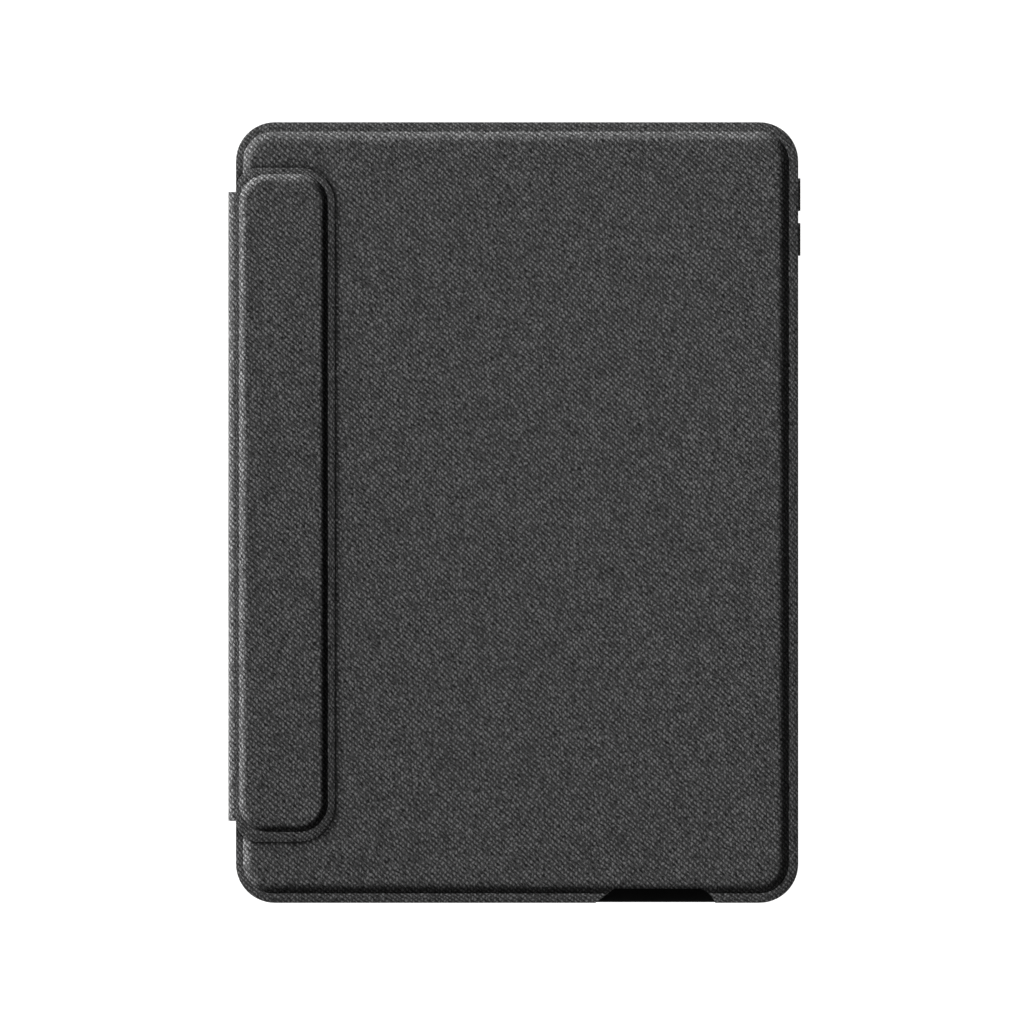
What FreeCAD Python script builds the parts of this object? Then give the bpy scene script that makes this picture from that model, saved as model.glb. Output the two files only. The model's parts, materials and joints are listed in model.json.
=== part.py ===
import FreeCAD, Part
import math
import os
import Sketcher
from FreeCAD import Placement, Rotation, Vector

# A folio keyboard case for a 10.2 inch tablet, closed and lying on its back.
# X runs from the spine to the opening edge, Y runs along the spine, and Z is up through the closed case.
# The origin is on the resting face, under the middle of the cover's outline.

os.makedirs("parts", exist_ok=True)
doc = FreeCAD.newDocument("TabletKeyboardCase")
sheet = doc.addObject("Spreadsheet::Sheet", "Sizes")

DIMENSIONS = {
    # outline of both halves
    "case_width": 184.4,
    "case_depth": 256.0,
    "case_corner": 12.8,
    "skin": 0.8,
    # tablet half, from the resting face up
    "back_board": 1.4,
    "tray_floor": 1.2,
    "liner": 0.4,
    "tablet_thickness": 7.5,
    "tray_lip": 1.0,
    "lip_overhang": 1.3,
    "tray_left": -88.0,
    "tray_right": 91.9,
    "tray_half_depth": 127.8,
    "tray_corner": 12.3,
    "tray_wall": 2.4,
    "bay_width": 174.5,
    "bay_half_depth": 125.5,
    "bay_corner": 9.0,
    "closed_gap": 0.7,
    # cut-outs of the tablet half
    "camera_x": 76.5,
    "camera_y": 112.5,
    "camera_hole": 9.0,
    "camera_opening": 6.5,
    "port_half_width": 7.5,
    "port_height": 5.6,
    "speaker_offset": 30.0,
    "speaker_half_width": 9.0,
    "speaker_height": 3.4,
    "jack_x": -72.0,
    "jack_radius": 3.6,
    "power_x": 72.0,
    "power_half_width": 8.0,
    "power_height": 5.0,
    # volume buttons
    "button_length": 10.75,
    "button_height": 3.6,
    "button_proud": 0.8,
    "button_gap": 0.35,
    "volume_up_y": 104.35,
    "volume_down_y": 89.65,
    # kickstand
    "hinge_x": -6.0,
    "hinge_z": 1.05,
    "hinge_radius": 0.95,
    "pin_radius": 0.5,
    "pin_play": 0.05,
    "hinge_half_length": 12.0,
    "knuckle_half_length": 4.0,
    "hinge_spacing": 120.0,
    "hinge_plate": 0.5,
    "hinge_reach": 16.0,
    "groove": 2.4,
    "stand_left": -84.0,
    "stand_half_depth": 104.0,
    "stand_corner": 6.0,
    "stand_board": 1.1,
    "stand_gap": 0.3,
    "finger_radius": 8.0,
    "disc_radius": 4.0,
    "disc_x": -76.0,
    "disc_y": 70.0,
    "rivet_radius": 0.7,
    "rivet_head": 1.2,
    # magnets that hold the closed case together, in the tray's wall and in the keyboard
    "closure_low_y": -90.0,
    "closure_high_y": 60.0,
    "closure_length": 20.0,
    "tray_magnet_width": 1.4,
    "tray_magnet_height": 6.0,
    "closure_width": 4.0,
    "closure_thick": 1.2,
    "closure_inset": 7.0,
    # keyboard half, from its key side up
    "shell_gap": 0.3,
    "shell_height": 4.8,
    "shell_floor": 1.0,
    "shell_wall": 1.6,
    "frame_thick": 2.0,
    "frame_gap": 0.1,
    "well_depth": 1.2,
    "well_left": -82.0,
    "well_right": 11.5,
    "well_half_depth": 121.5,
    "lens_x": -86.5,
    "lens_low_y": 88.0,
    "lens_high_y": 94.0,
    "lens_radius": 0.8,
    "bumper_x": 60.0,
    "bumper_inset": 4.2,
    "bumper_half_length": 8.0,
    "bumper_half_width": 1.2,
    "bumper_height": 0.4,
    "plate_thick": 0.4,
    "membrane_thick": 0.2,
    # keys
    "key_pitch": 16.0,
    "key_gap": 2.0,
    "first_row_x": -75.5,
    "first_row_key": 9.0,
    "second_row_step": 14.0,
    "key_inset": 0.4,
    "key_height": 1.5,
    "key_cavity": 0.5,
    "key_corner": 1.8,
    "key_bevel": 0.45,
    "key_window": 0.35,
    # trackpad and the pieces beside it
    "pad_left": 20.0,
    "pad_right": 78.0,
    "pad_half_depth": 50.0,
    "side_near": 57.0,
    "side_far": 118.0,
    "side_left": 24.0,
    "side_right": 84.0,
    # charging socket and switch, in the end of the keyboard shell
    "socket_x": 56.3,
    "socket_half_width": 4.5,
    "socket_height": 3.2,
    "socket_length": 7.3,
    "switch_x": 38.7,
    "switch_half_width": 2.0,
    "switch_travel": 2.5,
    "switch_height": 1.6,
    "end_chamfer": 0.7,
    "recess_depth": 0.25,
    "recess_left": 29.9,
    "recess_right": 47.8,
    # cover of the keyboard half
    "panel_left": 2.3,
    "panel_right": 3.1,
    "panel_end": 3.1,
    "panel_corner": 9.8,
    "panel_rise": 1.8,
    "panel_bevel": 1.7,
    "panel_skin": 0.6,
    "panel_wall": 2.4,
    "cover_board": 1.2,
    "keeper_thick": 0.5,
    # cut-out in the cover for the switch and the socket
    "notch_mouth_left": 25.7,
    "notch_mouth_right": 65.0,
    "notch_left": 31.8,
    "notch_right": 60.2,
    "notch_depth": 4.7,
    # flap and spine
    "flap_gap": 0.1,
    "flap_lining": 0.3,
    "bed_right": -59.7,
    "bed_low": -108.0,
    "bed_high": 113.0,
    "bed_corner": 11.8,
    "bed_fold_corner": 7.4,
    "flap_rise": 1.9,
    "flap_left": -91.1,
    "flap_right": -62.0,
    "flap_low": -104.7,
    "flap_high": 110.9,
    "flap_corner": 9.2,
    "flap_bevel": 1.5,
    "flap_wall": 1.6,
    "carrier_thick": 1.0,
    "flap_magnet_pitch": 34.0,
    "flap_magnet_width": 12.0,
    "flap_magnet_length": 24.0,
    "flap_middle_y": 3.1,
    "fold_radius": 2.5,
    "fold_end": 0.3,
    "spine_low": -101.1,
    "spine_high": 105.1,
    "spine_board": 0.8,
    "spine_lining": 0.4,
}

for row, (alias, value) in enumerate(DIMENSIONS.items(), start=1):
    sheet.set("A%d" % row, alias)
    sheet.set("B%d" % row, str(value))
    sheet.setAlias("B%d" % row, alias)
doc.recompute()


def dim(alias):
    """The expression that reads one dimension of the sheet."""
    return "Sizes." + alias


def size(expression):
    """The number that an expression has now."""
    return float(sheet.evalExpression(expression))


# Levels, as expressions: each is the height of a face above the resting face.
BACK_TOP = dim("skin") + " + " + dim("back_board")
FLOOR_TOP = BACK_TOP + " + " + dim("tray_floor")
LINER_TOP = FLOOR_TOP + " + " + dim("liner")
BAY_TOP = LINER_TOP + " + " + dim("tablet_thickness")
LIP_TOP = BAY_TOP + " + " + dim("tray_lip")
DECK_FACE = LIP_TOP + " + " + dim("closed_gap")
KEY_FACE = DECK_FACE + " + " + dim("key_inset")
FRAME_TOP = DECK_FACE + " + " + dim("frame_thick")
SHELL_TOP = DECK_FACE + " + " + dim("shell_height")
SHELL_INSIDE = SHELL_TOP + " - " + dim("shell_floor")
PLATE_LOW = SHELL_INSIDE + " - 0.1 - " + dim("plate_thick")
MEMBRANE_LOW = PLATE_LOW + " - " + dim("membrane_thick")
FLANGE_TOP = SHELL_TOP + " + " + dim("skin")
PANEL_TOP = FLANGE_TOP + " + " + dim("panel_rise")
COVER_BOARD_TOP = SHELL_TOP + " + " + dim("cover_board")
COVER_INSIDE = PANEL_TOP + " - " + dim("panel_skin")
LINING_LOW = PANEL_TOP + " + " + dim("flap_gap")
BED_LOW = LINING_LOW + " + " + dim("flap_lining")
BED_TOP = LINING_LOW + " + " + dim("skin")
FLAP_TOP = BED_TOP + " + " + dim("flap_rise")
CARRIER_TOP = BED_LOW + " + " + dim("carrier_thick")
FOAM_TOP = FLAP_TOP + " - " + dim("panel_skin")
UPPER_FOLD = BED_TOP + " - " + dim("fold_radius")
TRAY_BUTTON = LINER_TOP + " + " + dim("tablet_thickness") + " / 2"
SOCKET_MIDDLE = SHELL_INSIDE + " - " + dim("socket_height") + " / 2"


def inset(area, margin):
    """An area (left, right, low, high) drawn in by a margin on every side."""
    left, right, low, high = area
    return (
        f"{left} + ({margin})",
        f"{right} - ({margin})",
        f"{low} + ({margin})",
        f"{high} - ({margin})",
    )


def around(x, y, half_width, half_depth):
    """The area about a middle point."""
    return (
        f"{x} - ({half_width})",
        f"{x} + ({half_width})",
        f"{y} - ({half_depth})",
        f"{y} + ({half_depth})",
    )


CASE = around("0", "0", dim("case_width") + " / 2", dim("case_depth") + " / 2")
TRAY = (dim("tray_left"), dim("tray_right"), "-" + dim("tray_half_depth"), dim("tray_half_depth"))
BAY_RIGHT = dim("tray_right") + " - " + dim("tray_wall")
BAY_MIDDLE = BAY_RIGHT + " - " + dim("bay_width") + " / 2"
BAY = (
    BAY_RIGHT + " - " + dim("bay_width"),
    BAY_RIGHT,
    "-" + dim("bay_half_depth"),
    dim("bay_half_depth"),
)
SHELL = inset(CASE, dim("shell_gap"))
FRAME = inset(SHELL, dim("shell_wall") + " + " + dim("frame_gap"))
PANEL = (
    CASE[0] + " + " + dim("panel_left"),
    CASE[1] + " - " + dim("panel_right"),
    CASE[2] + " + " + dim("panel_end"),
    CASE[3] + " - " + dim("panel_end"),
)
PANEL_INSIDE = inset(PANEL, dim("panel_wall"))
KEEPER = ("-86", "-66", "-100", "104")
BED = (CASE[0], dim("bed_right"), dim("bed_low"), dim("bed_high"))
FLAP = (dim("flap_left"), dim("flap_right"), dim("flap_low"), dim("flap_high"))
FLAP_INSIDE = inset(FLAP, dim("flap_wall"))
WELL = (dim("well_left"), dim("well_right"), "-" + dim("well_half_depth"), dim("well_half_depth"))
TRACKPAD = (dim("pad_left"), dim("pad_right"), "-" + dim("pad_half_depth"), dim("pad_half_depth"))
BATTERY_SIDE = (dim("side_left"), dim("side_right"), dim("side_near"), dim("side_far"))
BOARD_SIDE = (dim("side_left"), dim("side_right"), "-" + dim("side_far"), "-" + dim("side_near"))
STAND = (
    dim("stand_left"),
    dim("hinge_x"),
    "-" + dim("stand_half_depth"),
    dim("stand_half_depth"),
)
STAND_WINDOW = (
    STAND[0] + " - " + dim("stand_gap"),
    dim("hinge_x") + " + " + dim("groove"),
    STAND[2] + " - " + dim("stand_gap"),
    STAND[3] + " + " + dim("stand_gap"),
)
NOTCH = [
    (dim("notch_mouth_left"), CASE[2] + " - 1"),
    (dim("notch_mouth_left"), CASE[2]),
    (dim("notch_left"), CASE[2] + " + " + dim("notch_depth")),
    (dim("notch_right"), CASE[2] + " + " + dim("notch_depth")),
    (dim("notch_mouth_right"), CASE[2]),
    (dim("notch_mouth_right"), CASE[2] + " - 1"),
]

exported = []


def bind(sketch, constraint, expression):
    """Adds a constraint whose value follows an expression."""
    index = sketch.addConstraint(constraint)
    sketch.setExpression("Constraints[%d]" % index, expression)


def sketch_in(body, name, offset, role="XY_Plane"):
    """An empty sketch on one of the body's own planes, moved along the plane's normal by offset."""
    sketch = body.newObject("Sketcher::SketchObject", body.Name + "_" + name)
    plane = next(f for f in body.Origin.OriginFeatures if f.Role == role)
    sketch.AttachmentSupport = [(plane, "")]
    sketch.MapMode = "FlatFace"
    sketch.setExpression("AttachmentOffset.Base.z", offset)
    return sketch


def rounded(sketch, area, radius, left_radius=None):
    """A rectangle with round corners. The two left corners may have a radius of their own."""
    left, right, low, high = (size(e) for e in area)
    right_r = size(radius)
    left_r = size(left_radius or radius)
    corners = [
        (right - right_r, low + right_r, right_r),
        (right - right_r, high - right_r, right_r),
        (left + left_r, high - left_r, left_r),
        (left + left_r, low + left_r, left_r),
    ]
    first = sketch.GeometryCount
    sides = [
        (Vector(left + left_r, low), Vector(right - right_r, low)),
        (Vector(right, low + right_r), Vector(right, high - right_r)),
        (Vector(right - right_r, high), Vector(left + left_r, high)),
        (Vector(left, high - left_r), Vector(left, low + left_r)),
    ]
    for start, end in sides:
        sketch.addGeometry(Part.LineSegment(start, end))
    for turn, (x, y, r) in enumerate(corners, start=-1):
        circle = Part.Circle(Vector(x, y), Vector(0, 0, 1), r)
        sketch.addGeometry(Part.ArcOfCircle(circle, turn * math.pi / 2, (turn + 1) * math.pi / 2))
    for i in range(4):
        side, corner, after = first + i, first + 4 + i, first + (i + 1) % 4
        sketch.addConstraint(Sketcher.Constraint("Tangent", side, 2, corner, 1))
        sketch.addConstraint(Sketcher.Constraint("Tangent", corner, 2, after, 1))
    for i, kind in enumerate(["Horizontal", "Vertical", "Horizontal", "Vertical"]):
        sketch.addConstraint(Sketcher.Constraint(kind, first + i))
    sketch.addConstraint(Sketcher.Constraint("Equal", first + 4, first + 5))
    sketch.addConstraint(Sketcher.Constraint("Equal", first + 6, first + 7))
    bind(sketch, Sketcher.Constraint("Radius", first + 4, right_r), radius)
    bind(sketch, Sketcher.Constraint("Radius", first + 6, left_r), left_radius or radius)
    for kind, side, value, expression in [
        ("DistanceX", 3, left, area[0]),
        ("DistanceX", 1, right, area[1]),
        ("DistanceY", 0, low, area[2]),
        ("DistanceY", 2, high, area[3]),
    ]:
        bind(sketch, Sketcher.Constraint(kind, -1, 1, first + side, 1, value), expression)


def circle_in(sketch, x, y, radius):
    """A circle whose middle and radius follow expressions."""
    here = Vector(size(x), size(y))
    index = sketch.addGeometry(Part.Circle(here, Vector(0, 0, 1), size(radius)))
    bind(sketch, Sketcher.Constraint("Radius", index, size(radius)), radius)
    bind(sketch, Sketcher.Constraint("DistanceX", -1, 1, index, 3, here.x), x)
    bind(sketch, Sketcher.Constraint("DistanceY", -1, 1, index, 3, here.y), y)


def polygon(sketch, points):
    """A closed outline whose corners follow expressions."""
    places = [Vector(size(x), size(y)) for x, y in points]
    first = sketch.GeometryCount
    count = len(points)
    for i in range(count):
        sketch.addGeometry(Part.LineSegment(places[i], places[(i + 1) % count]))
    for i in range(count):
        after = first + (i + 1) % count
        sketch.addConstraint(Sketcher.Constraint("Coincident", first + i, 2, after, 1))
    for i, (x, y) in enumerate(points):
        bind(sketch, Sketcher.Constraint("DistanceX", -1, 1, first + i, 1, places[i].x), x)
        bind(sketch, Sketcher.Constraint("DistanceY", -1, 1, first + i, 1, places[i].y), y)


def new_body(label):
    """An empty PartDesign body that is written to a file of its own."""
    body = doc.addObject("PartDesign::Body", label)
    body.Label = label
    exported.append(body)
    return body


def pad(body, sketch, length, backwards=False):
    """Adds a sketch's outline, as deep as length."""
    feature = body.newObject("PartDesign::Pad", sketch.Name + "_pad")
    feature.Profile = sketch
    feature.setExpression("Length", length)
    feature.Reversed = backwards
    return feature


def pocket(body, sketch, length, along=False):
    """Cuts a sketch's outline against the sketch's normal, or along it."""
    feature = body.newObject("PartDesign::Pocket", sketch.Name + "_cut")
    feature.Profile = sketch
    feature.setExpression("Length", length)
    feature.Reversed = along
    return feature


def plate(label, area, radius, low, thick, left_radius=None):
    """A flat piece with round corners, from its low face up."""
    body = new_body(label)
    sketch = sketch_in(body, "outline", low)
    rounded(sketch, area, radius, left_radius)
    pad(body, sketch, thick)
    return body


def cut_area(body, name, area, radius, low, thick, left_radius=None):
    """Cuts a rounded opening upwards from low."""
    sketch = sketch_in(body, name, low)
    rounded(sketch, area, radius, left_radius)
    pocket(body, sketch, thick, along=True)


def cut_circles(body, name, places, radius, low, thick):
    """Cuts round openings upwards from low."""
    sketch = sketch_in(body, name, low)
    for x, y in places:
        circle_in(sketch, x, y, radius)
    pocket(body, sketch, thick, along=True)


def soften_top(body, radius):
    """Rounds the edges of the body's highest face."""
    doc.recompute()
    base = body.Tip
    top = max(f.BoundBox.ZMax for f in base.Shape.Faces)
    found = [i for i, f in enumerate(base.Shape.Faces, start=1) if f.BoundBox.ZMin > top - 1e-6]
    fillet = body.newObject("PartDesign::Fillet", body.Name + "_soft")
    fillet.Base = (base, ["Face%d" % found[0]])
    fillet.setExpression("Radius", radius)


def block(label, x, y, z, length, width, height, export=True):
    """A plain box from its low corner."""
    box = doc.addObject("Part::Box", label)
    box.Label = label
    for axis, expression in zip("xyz", (x, y, z)):
        box.setExpression("Placement.Base." + axis, expression)
    for side, expression in (("Length", length), ("Width", width), ("Height", height)):
        box.setExpression(side, expression)
    if export:
        exported.append(box)
    return box


def free_shape(label, shape):
    """A sub-part whose shape is computed from the sheet by Part's own functions."""
    feature = doc.addObject("Part::Feature", label)
    feature.Label = label
    feature.Shape = shape
    feature.Placement = Placement(Vector(0, 0, 0), Rotation())
    exported.append(feature)
    return feature


def slab(left, right, low, high, bottom, top, corner):
    """A box with round upright edges."""
    box = Part.makeBox(right - left, high - low, top - bottom, Vector(left, low, bottom))
    upright = [e for e in box.Edges if abs(e.tangentAt(e.FirstParameter).z) > 0.9]
    return box.makeFillet(corner, upright)


def rod(radius, x, y, z, length, direction):
    return Part.makeCylinder(radius, length, Vector(x, y, z), direction)


ALONG_Y = Vector(0, 1, 0)
UP = Vector(0, 0, 1)


# Tablet half


def back_pieces():
    """The outer skin and the board of the back, with the window that the kickstand folds into."""
    camera = [(dim("camera_x"), dim("camera_y"))]
    corner = dim("stand_corner")
    skin = plate("back_skin", CASE, dim("case_corner"), "0", dim("skin"))
    cut_area(skin, "stand_window", STAND_WINDOW, "0.3", "0", dim("skin"), corner)
    cut_circles(skin, "camera_hole", camera, dim("camera_hole"), "0", dim("skin"))

    board = plate(
        "back_board",
        inset(CASE, "1"),
        dim("case_corner") + " - 1",
        dim("skin"),
        dim("back_board"),
    )
    cut_area(board, "stand_window", STAND_WINDOW, "0.3", dim("skin"), dim("back_board"), corner)
    cut_circles(board, "camera_hole", camera, dim("camera_hole"), dim("skin"), dim("back_board"))
    seat = BACK_TOP + " - 0.2 - " + dim("hinge_plate")
    for name, y in hinge_places():
        area = (
            dim("hinge_x"),
            dim("hinge_x") + " + " + dim("hinge_reach") + " + 0.1",
            y + " - " + dim("hinge_half_length") + " - 0.1",
            y + " + " + dim("hinge_half_length") + " + 0.1",
        )
        cut_area(board, name + "_seat", area, "0.4", seat, "0.2 + " + dim("hinge_plate"))
    holes = rivet_places("+")
    cut_circles(board, "rivet_holes", holes, dim("rivet_radius"), dim("skin"), dim("back_board"))


def hinge_places():
    """The name of each kickstand hinge and the expression for its middle along Y."""
    return [
        ("low", "-" + dim("hinge_spacing") + " / 2"),
        ("high", dim("hinge_spacing") + " / 2"),
    ]


def rivet_places(side):
    """The rivets of both hinges, on one side of the hinge line."""
    x = f"{dim('hinge_x')} {side} {dim('hinge_reach')} * 0.7"
    return [
        (x, f"{y} {way} {dim('hinge_half_length')} * 0.6")
        for _, y in hinge_places()
        for way in "+-"
    ]


def closure_places():
    """The middles along Y of the magnets that hold the closed case together."""
    return [dim("closure_low_y"), dim("closure_high_y")]


def tablet_tray():
    """The moulded tray: floor, walls and the lip that snaps over the tablet's edge."""
    tray = plate("tablet_tray", TRAY, dim("tray_corner"), BACK_TOP, LIP_TOP + " - (" + BACK_TOP + ")")
    cut_area(tray, "bay", BAY, dim("bay_corner"), FLOOR_TOP, BAY_TOP + " - (" + FLOOR_TOP + ")")
    display = inset(BAY, dim("lip_overhang"))
    cut_area(tray, "display", display, dim("bay_corner") + " - 1", BAY_TOP, dim("tray_lip"))
    camera = [(dim("camera_x"), dim("camera_y"))]
    cut_circles(tray, "camera_hole", camera, dim("camera_hole"), BACK_TOP, dim("tray_floor"))
    discs = [(dim("disc_x"), sign + dim("disc_y")) for sign in ("", "-")]
    cut_circles(tray, "keeper_seats", discs, dim("disc_radius"), BACK_TOP, "0.6")
    magnets = sketch_in(tray, "magnet_seats", BACK_TOP)
    half_width = dim("tray_magnet_width") + " / 2 + 0.05"
    half_length = dim("closure_length") + " / 2 + 0.1"
    for y in closure_places():
        middle = BAY_RIGHT + " + " + dim("tray_wall") + " / 2"
        rounded(magnets, around(middle, y, half_width, half_length), "0.1")
    pocket(tray, magnets, dim("tray_magnet_height") + " + 0.1", along=True)

    wall = dim("tray_wall") + " + 0.5"
    end = dim("tray_half_depth") + " + 0.1"
    ports = sketch_in(tray, "ports", end, "XZ_Plane")
    port = around(BAY_MIDDLE, TRAY_BUTTON, dim("port_half_width"), dim("port_height") + " / 2")
    rounded(ports, port, "2")
    for sign in "+-":
        middle = f"{BAY_MIDDLE} {sign} {dim('speaker_offset')}"
        area = around(middle, TRAY_BUTTON, dim("speaker_half_width"), dim("speaker_height") + " / 2")
        rounded(ports, area, "1.5")
    pocket(tray, ports, wall)

    top = sketch_in(tray, "top_cuts", "-(" + end + ")", "XZ_Plane")
    area = around(dim("power_x"), TRAY_BUTTON, dim("power_half_width"), dim("power_height") + " / 2")
    rounded(top, area, "2")
    circle_in(top, dim("jack_x"), TRAY_BUTTON, dim("jack_radius"))
    pocket(tray, top, wall, along=True)

    side = sketch_in(tray, "button_windows", dim("tray_right") + " + 0.1", "YZ_Plane")
    for y in (dim("volume_up_y"), dim("volume_down_y")):
        half_length = dim("button_length") + " / 2 + " + dim("button_gap")
        half_height = dim("button_height") + " / 2 + " + dim("button_gap")
        rounded(side, around(y, TRAY_BUTTON, half_length, half_height), "1.5")
    pocket(tray, side, wall)


def tray_pieces():
    """The liner, the camera ring, the magnets and the keeper discs."""
    liner = plate(
        "tray_liner",
        inset(BAY, "0.3"),
        dim("bay_corner") + " - 0.3",
        FLOOR_TOP,
        dim("liner"),
    )
    camera = [(dim("camera_x"), dim("camera_y"))]
    cut_circles(liner, "camera_hole", camera, dim("camera_hole"), FLOOR_TOP, dim("liner"))

    ring = new_body("camera_ring")
    outline = sketch_in(ring, "outline", "0.1")
    circle_in(outline, dim("camera_x"), dim("camera_y"), dim("camera_hole"))
    circle_in(outline, dim("camera_x"), dim("camera_y"), dim("camera_opening"))
    pad(ring, outline, FLOOR_TOP + " - 0.1")

    floor = size(BACK_TOP)
    wide, long = size(dim("tray_magnet_width")), size(dim("closure_length"))
    x = size(BAY_RIGHT + " + " + dim("tray_wall") + " / 2") - wide / 2
    magnets = [
        Part.makeBox(wide, long, size(dim("tray_magnet_height")), Vector(x, size(y) - long / 2, floor))
        for y in closure_places()
    ]
    free_shape("tray_magnets", Part.makeCompound(magnets))
    radius, disc_x, disc_y = size(dim("disc_radius")), size(dim("disc_x")), size(dim("disc_y"))
    keepers = [rod(radius, disc_x, y, floor, 0.6, UP) for y in (-disc_y, disc_y)]
    free_shape("stand_keeper_discs", Part.makeCompound(keepers))


def volume_buttons():
    """The two covers that press the tablet's volume keys."""
    for label, y in (("volume_up_button", "volume_up_y"), ("volume_down_button", "volume_down_y")):
        button = new_body(label)
        outline = sketch_in(button, "outline", BAY_RIGHT + " + 0.6", "YZ_Plane")
        half_length = dim("button_length") + " / 2"
        half_height = dim("button_height") + " / 2"
        rounded(outline, around(dim(y), TRAY_BUTTON, half_length, half_height), "1.4")
        reach = dim("case_width") + " / 2 + " + dim("button_proud")
        pad(button, outline, f"{reach} - ({BAY_RIGHT} + 0.6)")


def hinge_leaf(side, middle):
    """One leaf of a kickstand hinge. Side 1 is the fixed leaf, with the outer knuckles."""
    x, z = size(dim("hinge_x")), size(dim("hinge_z"))
    radius = size(dim("hinge_radius"))
    half, knuckle = size(dim("hinge_half_length")), size(dim("knuckle_half_length"))
    thick, reach = size(dim("hinge_plate")), size(dim("hinge_reach"))
    play = size(dim("pin_play"))
    between = 0.15
    if side > 0:
        spans = [(-half, -knuckle - between), (knuckle + between, half)]
        bore = size(dim("pin_radius"))
        top = size(BACK_TOP) - 0.2
    else:
        spans = [(-knuckle, knuckle)]
        bore = size(dim("pin_radius")) + play
        top = size(dim("skin") + " + " + dim("stand_board"))
    clear = radius + 0.35
    left = x + clear if side > 0 else x - reach
    right = x + reach if side > 0 else x - clear
    leaf = slab(left, right, middle - half, middle + half, top - thick, top, 0.2)
    for low, high in spans:
        near = x if side > 0 else x - clear - 0.1
        web = Part.makeBox(clear + 0.1, high - low, thick, Vector(near, middle + low, top - thick))
        leaf = leaf.fuse([web, rod(radius, x, middle + low, z, high - low, ALONG_Y)])
    leaf = leaf.cut(rod(bore, x, middle - half, z, 2 * half, ALONG_Y))
    for rivet_x, rivet_y in rivet_places("+" if side > 0 else "-"):
        hole = rod(size(dim("rivet_radius")), size(rivet_x), size(rivet_y), top - thick, thick, UP)
        leaf = leaf.cut(hole)
    return leaf.removeSplitter()


def rivets(side, top):
    """The rivets that hold one side's hinge leaves to their board."""
    low = size(dim("skin"))
    shapes = []
    for x, y in rivet_places(side):
        shank = rod(size(dim("rivet_radius")), size(x), size(y), low, top - low, UP)
        head = rod(size(dim("rivet_head")), size(x), size(y), top, 0.12, UP)
        shapes.append(shank.fuse(head).removeSplitter())
    return Part.makeCompound(shapes)


def kickstand():
    """The leaf in the back, its hinges, and the discs that hold it shut."""
    middles = [size(y) for _, y in hinge_places()]
    free_shape("stand_hinge_fixed_leaves", Part.makeCompound([hinge_leaf(1, y) for y in middles]))
    free_shape("stand_hinge_moving_leaves", Part.makeCompound([hinge_leaf(-1, y) for y in middles]))
    half = size(dim("hinge_half_length"))
    x, z = size(dim("hinge_x")), size(dim("hinge_z"))
    pins = [rod(size(dim("pin_radius")), x, y - half, z, 2 * half, ALONG_Y) for y in middles]
    free_shape("stand_hinge_pins", Part.makeCompound(pins))
    free_shape("stand_fixed_rivets", rivets("+", size(BACK_TOP) - 0.2))
    free_shape("stand_moving_rivets", rivets("-", size(dim("skin") + " + " + dim("stand_board"))))

    finger = [(dim("stand_left"), "0")]
    skin_area = (STAND[0], STAND[1] + " - 1.3", STAND[2], STAND[3])
    skin = plate("stand_skin", skin_area, "1", "0", dim("skin"), dim("stand_corner"))
    cut_circles(skin, "finger_notch", finger, dim("finger_radius"), "0", dim("skin"))

    board_area = (STAND[0], STAND[1] + " - 0.3", STAND[2], STAND[3])
    board = plate("stand_board", board_area, "0.2", dim("skin"), dim("stand_board"), dim("stand_corner"))
    bead = sketch_in(board, "bead", "0", "XZ_Plane")
    circle_in(bead, dim("hinge_x"), dim("hinge_z"), dim("hinge_radius"))
    roll = pad(board, bead, "2 * " + dim("stand_half_depth"))
    roll.Midplane = True
    for name, y in hinge_places():
        area = (
            dim("hinge_x") + " - " + dim("hinge_radius") + " - 0.35",
            dim("hinge_x") + " + 2",
            y + " - " + dim("hinge_half_length") + " - 0.3",
            y + " + " + dim("hinge_half_length") + " + 0.3",
        )
        cut_area(board, name + "_hinge_gap", area, "0.2", "0", BACK_TOP)
        seat = (
            dim("hinge_x") + " - " + dim("hinge_reach") + " - 0.1",
            dim("hinge_x"),
            y + " - " + dim("hinge_half_length") + " - 0.1",
            y + " + " + dim("hinge_half_length") + " + 0.1",
        )
        depth = dim("skin") + " + " + dim("stand_board") + " - " + dim("hinge_plate")
        cut_area(board, name + "_hinge_seat", seat, "0.2", depth, dim("hinge_plate"))
    cut_circles(board, "finger_notch", finger, dim("finger_radius"), dim("skin"), dim("stand_board"))
    discs = [(dim("disc_x"), sign + dim("disc_y")) for sign in ("", "-")]
    cut_circles(board, "disc_seats", discs, dim("disc_radius"), dim("skin"), dim("stand_board"))
    holes = rivet_places("-")
    cut_circles(board, "rivet_holes", holes, dim("rivet_radius"), dim("skin"), dim("stand_board"))

    radius, disc_x, disc_y = size(dim("disc_radius")), size(dim("disc_x")), size(dim("disc_y"))
    discs = [rod(radius, disc_x, y, size(dim("skin")), 1.0, UP) for y in (-disc_y, disc_y)]
    free_shape("stand_magnets", Part.makeCompound(discs))


# Spine and folds


def fold(label, height, start, sweep):
    """A quarter of a rolled skin about a fold's axis, at the case's spine edge."""
    parts = []
    inner = dim("fold_radius") + " - " + dim("skin")
    for name, radius in (("outer", dim("fold_radius")), ("inner", inner)):
        cylinder = doc.addObject("Part::Cylinder", label + "_" + name)
        cylinder.setExpression("Radius", radius)
        cylinder.setExpression("Height", dim("spine_high") + " - " + dim("spine_low"))
        cylinder.Angle = sweep if name == "outer" else 360
        cylinder.Placement.Rotation = Rotation(Vector(1, 0, 0), 90) * Rotation(UP, start)
        cylinder.setExpression("Placement.Base.x", CASE[0])
        cylinder.setExpression("Placement.Base.y", dim("spine_high"))
        cylinder.setExpression("Placement.Base.z", height)
        parts.append(cylinder)
    roll = doc.addObject("Part::Cut", label)
    roll.Label = label
    roll.Base, roll.Tool = parts
    exported.append(roll)


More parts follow.
